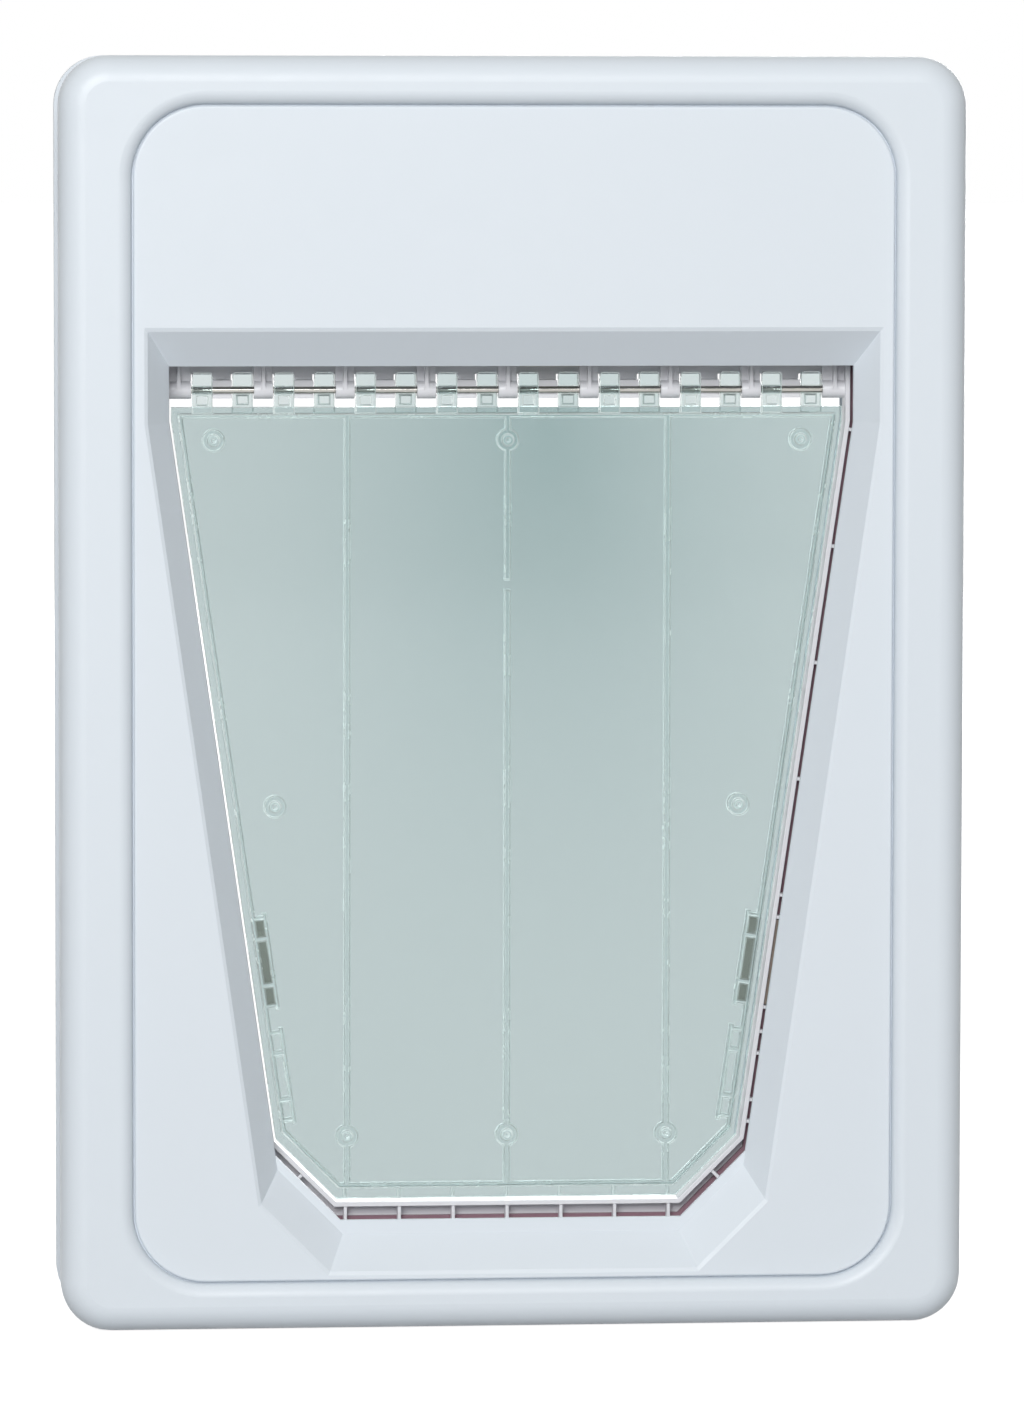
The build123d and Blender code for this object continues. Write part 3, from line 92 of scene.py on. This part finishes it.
# Moulded pieces: colour, worn colour, roughness, grain in a metre, depth of the grain
# and, where some light passes, the share that does
WHITE = (0.755, 0.805, 0.86)
SHADE = (0.74, 0.795, 0.855)
MOULDED = {
    "frame_white": (WHITE, SHADE, 0.42, 1800.0, 0.00002),
    "panel_white": (WHITE, SHADE, 0.46, 1800.0, 0.00002),
    "chassis_white": ((0.80, 0.80, 0.83), (0.77, 0.77, 0.81), 0.40, 1500.0, 0.00001),
    # Painted shade: the flap's rounded edges get a darker, half-clear colour that draws in the dark
    # lines that refraction and reflection make there.
    "flap_edge_painted_shade": ((0.60, 0.68, 0.67), (0.66, 0.73, 0.72), 0.25, 900.0, 0.00001, 0.5),
    "magnet_dark": ((0.075, 0.09, 0.07), (0.10, 0.12, 0.095), 0.45, 1200.0, 0.00002),
    "tray_plastic": ((0.03, 0.03, 0.034), (0.045, 0.045, 0.05), 0.5, 1500.0, 0.00003),
    "cell_jacket": ((0.03, 0.03, 0.035), (0.05, 0.05, 0.055), 0.3, 400.0, 0.00001),
    "board_green": ((0.02, 0.16, 0.06), (0.03, 0.21, 0.08), 0.35, 700.0, 0.00002),
    "switch_black": ((0.02, 0.02, 0.022), (0.04, 0.04, 0.042), 0.45, 1500.0, 0.00002),
    "button_rubber": ((0.20, 0.22, 0.25), (0.25, 0.27, 0.30), 0.7, 1600.0, 0.00003),
    "coil_copper": ((0.26, 0.14, 0.175), (0.19, 0.095, 0.125), 0.35, 2400.0, 0.0002),
    "lock_nylon": ((0.62, 0.61, 0.56), (0.55, 0.54, 0.50), 0.45, 1200.0, 0.00002),
}

# Metal pieces: colour, dull colour, roughness, marks in a metre
METAL = {
    "pin_steel": ((0.46, 0.45, 0.42), (0.38, 0.37, 0.34), 0.18, 900.0),
    "keeper_steel": ((0.34, 0.29, 0.25), (0.22, 0.17, 0.14), 0.40, 900.0),
    "fastener_steel": ((0.62, 0.62, 0.60), (0.50, 0.50, 0.50), 0.30, 1400.0),
    "contact_spring": ((0.78, 0.77, 0.74), (0.62, 0.61, 0.58), 0.28, 1400.0),
    "pinion_brass": ((0.72, 0.55, 0.26), (0.60, 0.44, 0.20), 0.3, 1400.0),
    "motor_steel": ((0.60, 0.60, 0.60), (0.48, 0.48, 0.49), 0.3, 1000.0),
}

# Clear pieces: tint, density of the tint, pale colour, colour with painted shade, roughness
CLEAR = {
    "flap_clear": ((0.0, 0.35, 0.30), 18.0, (0.716, 0.770, 0.774), (0.56, 0.650, 0.652), 0.02),
    "pipe_clear": ((0.2, 0.3, 0.3), 20.0, (0.98, 0.98, 0.98), (0.95, 0.96, 0.96), 0.04),
}


def material_graph(name):
    """New material with its node tree, its main shader and its Object coordinates."""
    material = bpy.data.materials.new(name)
    material.use_nodes = True
    tree = material.node_tree
    coordinates = tree.nodes.new("ShaderNodeTexCoord").outputs["Object"]
    return material, tree, tree.nodes["Principled BSDF"], coordinates


def noise(tree, coordinates, scale, detail=3.0):
    """Noise pattern with so many features in a metre."""
    node = tree.nodes.new("ShaderNodeTexNoise")
    node.inputs["Scale"].default_value = scale
    node.inputs["Detail"].default_value = detail
    tree.links.new(coordinates, node.inputs["Vector"])
    return node.outputs["Fac"]


def spread(tree, factor, low, high):
    """Pattern mapped from its middle range to the range between two values."""
    node = tree.nodes.new("ShaderNodeMapRange")
    node.inputs["From Min"].default_value = NOISE_LOW
    node.inputs["From Max"].default_value = NOISE_HIGH
    node.inputs["To Min"].default_value = low
    node.inputs["To Max"].default_value = high
    tree.links.new(factor, node.inputs["Value"])
    return node.outputs["Result"]


def colours(tree, factor, first, second):
    """Two colours mixed by a pattern, with the sockets taken by number because their names repeat."""
    node = tree.nodes.new("ShaderNodeMix")
    node.data_type = "RGBA"
    node.inputs[6].default_value = (*first, 1.0)
    node.inputs[7].default_value = (*second, 1.0)
    tree.links.new(factor, node.inputs[0])
    return node.outputs[2]


def bump(tree, shader, height, depth):
    """Surface relief of one depth in metres."""
    node = tree.nodes.new("ShaderNodeBump")
    node.inputs["Strength"].default_value = 1.0
    node.inputs["Distance"].default_value = depth
    tree.links.new(height, node.inputs["Height"])
    tree.links.new(node.outputs["Normal"], shader.inputs["Normal"])


def moulded(name, colour, worn, roughness, grain, depth, transmission=0.0):
    """Moulded plastic: faint clouding of the colour, uneven gloss and a fine eroded grain."""
    material, tree, shader, coordinates = material_graph(name)
    shader.inputs["Transmission Weight"].default_value = transmission
    cloud = noise(tree, coordinates, CLOUD_SCALE)
    tree.links.new(colours(tree, cloud, colour, worn), shader.inputs["Base Color"])
    gloss = noise(tree, coordinates, GLOSS_SCALE)
    uneven = spread(tree, gloss, roughness - GLOSS_SPREAD, roughness + GLOSS_SPREAD)
    tree.links.new(uneven, shader.inputs["Roughness"])
    bump(tree, shader, noise(tree, coordinates, grain), depth)
    return material


def metal(name, colour, dull, roughness, grain):
    """Bare or plated metal with uneven tarnish and fine marks."""
    material, tree, shader, coordinates = material_graph(name)
    shader.inputs["Metallic"].default_value = 1.0
    tarnish = noise(tree, coordinates, TARNISH_SCALE)
    tree.links.new(colours(tree, tarnish, colour, dull), shader.inputs["Base Color"])
    marks = noise(tree, coordinates, grain, detail=5.0)
    uneven = spread(tree, marks, roughness - METAL_SPREAD, roughness + METAL_SPREAD)
    tree.links.new(uneven, shader.inputs["Roughness"])
    bump(tree, shader, marks, METAL_MARK_DEPTH)
    return material


def clear(name, tint, density, pale, painted_shade_colour, roughness):
    """Clear plastic that tints light along its way, with painted shade that darkens its colour most
    round one place, and an uneven polish.
    """
    material, tree, shader, coordinates = material_graph(name)
    shader.inputs["Transmission Weight"].default_value = 1.0
    shader.inputs["IOR"].default_value = CLEAR_IOR
    # Painted shade: the colour darkens towards one place near the top of the flap, in place of the
    # shade under the top of the frame.
    place = tree.nodes.new("ShaderNodeMapping")
    place.vector_type = "TEXTURE"
    place.inputs["Location"].default_value = PAINTED_SHADE_PLACE
    place.inputs["Scale"].default_value = PAINTED_SHADE_REACH
    tree.links.new(coordinates, place.inputs["Vector"])
    shade_ball = tree.nodes.new("ShaderNodeTexGradient")
    shade_ball.gradient_type = "QUADRATIC_SPHERE"
    tree.links.new(place.outputs["Vector"], shade_ball.inputs["Vector"])
    tree.links.new(colours(tree, shade_ball.outputs["Fac"], pale, painted_shade_colour), shader.inputs["Base Color"])
    polish = noise(tree, coordinates, POLISH_SCALE)
    tree.links.new(spread(tree, polish, roughness, 2 * roughness), shader.inputs["Roughness"])
    absorption = tree.nodes.new("ShaderNodeVolumeAbsorption")
    absorption.inputs["Color"].default_value = (*tint, 1.0)
    absorption.inputs["Density"].default_value = density
    tree.links.new(absorption.outputs["Volume"], tree.nodes["Material Output"].inputs["Volume"])
    return material


def make_materials():
    """One material for each slot of the part, and one with painted shade for the rounded edges of the
    flap.
    """
    materials = {}
    for make, looks in ((moulded, MOULDED), (metal, METAL), (clear, CLEAR)):
        for name, look in looks.items():
            materials[name] = make(name, *look)
    return materials


def round_edges(node, width):
    """Weld the loose triangles of a CAD node and bevel its sharp edges."""
    weld = node.modifiers.new("weld", "WELD")
    weld.merge_threshold = WELD_GAP
    bevel = node.modifiers.new("edge", "BEVEL")
    bevel.width = width
    bevel.segments = EDGE_SEGMENTS
    bevel.use_clamp_overlap = False
    bevel.loop_slide = False
    bevel.limit_method = "ANGLE"
    bevel.angle_limit = math.radians(EDGE_ANGLE)
    return bevel


def dress_nodes():
    """Give every CAD node the material of its slot, and round the sharp edges of some."""
    materials = make_materials()
    for part in frame["record"]["subparts"]:
        mesh = NODES[part["node"]].data
        mesh.materials.clear()
        mesh.materials.append(materials[part["material_slot"]])
    for name in CLEAR_NODES:
        NODES[name].visible_shadow = False
    for name, width in EDGE_WIDTH.items():
        bevel = round_edges(NODES[name], width)
        # The bevelled edges of the flap take the darker material with painted shade.
        if name in FLAP_SHELLS:
            NODES[name].data.materials.append(materials["flap_edge_painted_shade"])
            bevel.material = 1


def math_node(tree, operation, first, second):
    """Result of one operation on an output and a second output or a constant."""
    node = tree.nodes.new("ShaderNodeMath")
    node.operation = operation
    tree.links.new(first, node.inputs[0])
    if isinstance(second, float):
        node.inputs[1].default_value = second
    else:
        tree.links.new(second, node.inputs[1])
    return node.outputs["Value"]


def seen_directly(tree):
    """1 for rays from the camera, off a gloss or through clear plastic, and 0 after a matt bounce."""
    path = tree.nodes.new("ShaderNodeLightPath").outputs
    mirrored = math_node(tree, "MAXIMUM", path["Is Camera Ray"], path["Is Glossy Ray"])
    seen = math_node(tree, "MAXIMUM", mirrored, path["Is Transmission Ray"])
    unbounced = math_node(tree, "LESS_THAN", path["Diffuse Depth"], 0.5)
    return math_node(tree, "MULTIPLY", seen, unbounced)


def make_world():
    """Soft even light on the object, and a white backdrop where it is seen directly."""
    world = bpy.data.worlds.new("studio")
    bpy.context.scene.world = world
    world.use_nodes = True
    tree = world.node_tree
    light = tree.nodes["Background"]
    light.inputs["Color"].default_value = (*AMBIENT_COLOUR, 1.0)
    light.inputs["Strength"].default_value = AMBIENT
    white = tree.nodes.new("ShaderNodeBackground")
    white.inputs["Color"].default_value = WHITE_LIGHT
    mix = tree.nodes.new("ShaderNodeMixShader")
    tree.links.new(seen_directly(tree), mix.inputs["Fac"])
    tree.links.new(light.outputs["Background"], mix.inputs[1])
    tree.links.new(white.outputs["Background"], mix.inputs[2])
    tree.links.new(mix.outputs["Shader"], tree.nodes["World Output"].inputs["Surface"])


def make_floor():
    """Pale floor under the door that keeps its shadow and is lifted to white for the camera."""
    z = CAD_LOW.z - FLOOR_GAP
    half = FLOOR_SIZE / 2
    corners = [(-half, -half, z), (half, -half, z), (half, half, z), (-half, half, z)]
    mesh = bpy.data.meshes.new("floor")
    mesh.from_pydata(corners, [], [(0, 1, 2, 3)])
    floor = bpy.data.objects.new("floor", mesh)
    bpy.context.scene.collection.objects.link(floor)
    floor.visible_transmission = False
    material, tree, shader, _ = material_graph("floor_paper")
    shader.inputs["Base Color"].default_value = (*FLOOR_COLOUR, 1.0)
    shader.inputs["Roughness"].default_value = FLOOR_ROUGHNESS
    shader.inputs["Emission Color"].default_value = WHITE_LIGHT
    glow = math_node(tree, "MULTIPLY", seen_directly(tree), FLOOR_GLOW)
    tree.links.new(glow, shader.inputs["Emission Strength"])
    mesh.materials.append(material)


def make_lamp(name, place, power):
    """Large soft round lamp that points at the door."""
    light = bpy.data.lights.new(name, "AREA")
    light.shape = "DISK"
    light.size = LAMP_SIZE
    light.energy = power
    lamp = bpy.data.objects.new(name, light)
    lamp.location = place
    lamp.rotation_euler = (-place).to_track_quat("-Z", "Y").to_euler()
    bpy.context.scene.collection.objects.link(lamp)
    return lamp


def make_lamps():
    """Key lamp in front at the left, and a weaker one behind that isn't seen through the flap."""
    make_lamp("key", KEY_PLACE, KEY_POWER)
    back = make_lamp("back", BACK_PLACE, BACK_POWER)
    back.visible_transmission = False


def make_camera():
    """Long lens a little to the left of the door and above its middle."""
    yaw, pitch, roll = (math.radians(angle) for angle in (CAMERA_YAW, CAMERA_PITCH, CAMERA_ROLL))
    ahead = Vector((math.sin(yaw) * math.cos(pitch), math.cos(yaw) * math.cos(pitch), -math.sin(pitch)))
    level = Vector((math.cos(yaw), -math.sin(yaw), 0.0))
    upright = level.cross(ahead)
    right = math.cos(roll) * level + math.sin(roll) * upright
    up = math.cos(roll) * upright - math.sin(roll) * level
    data = bpy.data.cameras.new("camera")
    data.sensor_width = SENSOR
    data.lens = SENSOR * FOCAL_PIXELS / IMAGE_HEIGHT
    data.clip_end = CAMERA_REACH
    camera = bpy.data.objects.new("camera", data)
    turn = Matrix((right, up, -ahead)).transposed().to_4x4()
    camera.matrix_world = Matrix.Translation(CAMERA_TARGET - CAMERA_DISTANCE * ahead) @ turn
    bpy.context.scene.collection.objects.link(camera)
    bpy.context.scene.camera = camera


bpy.context.scene.view_settings.view_transform = "Standard"
dress_nodes()
make_world()
make_floor()
make_lamps()
make_camera()
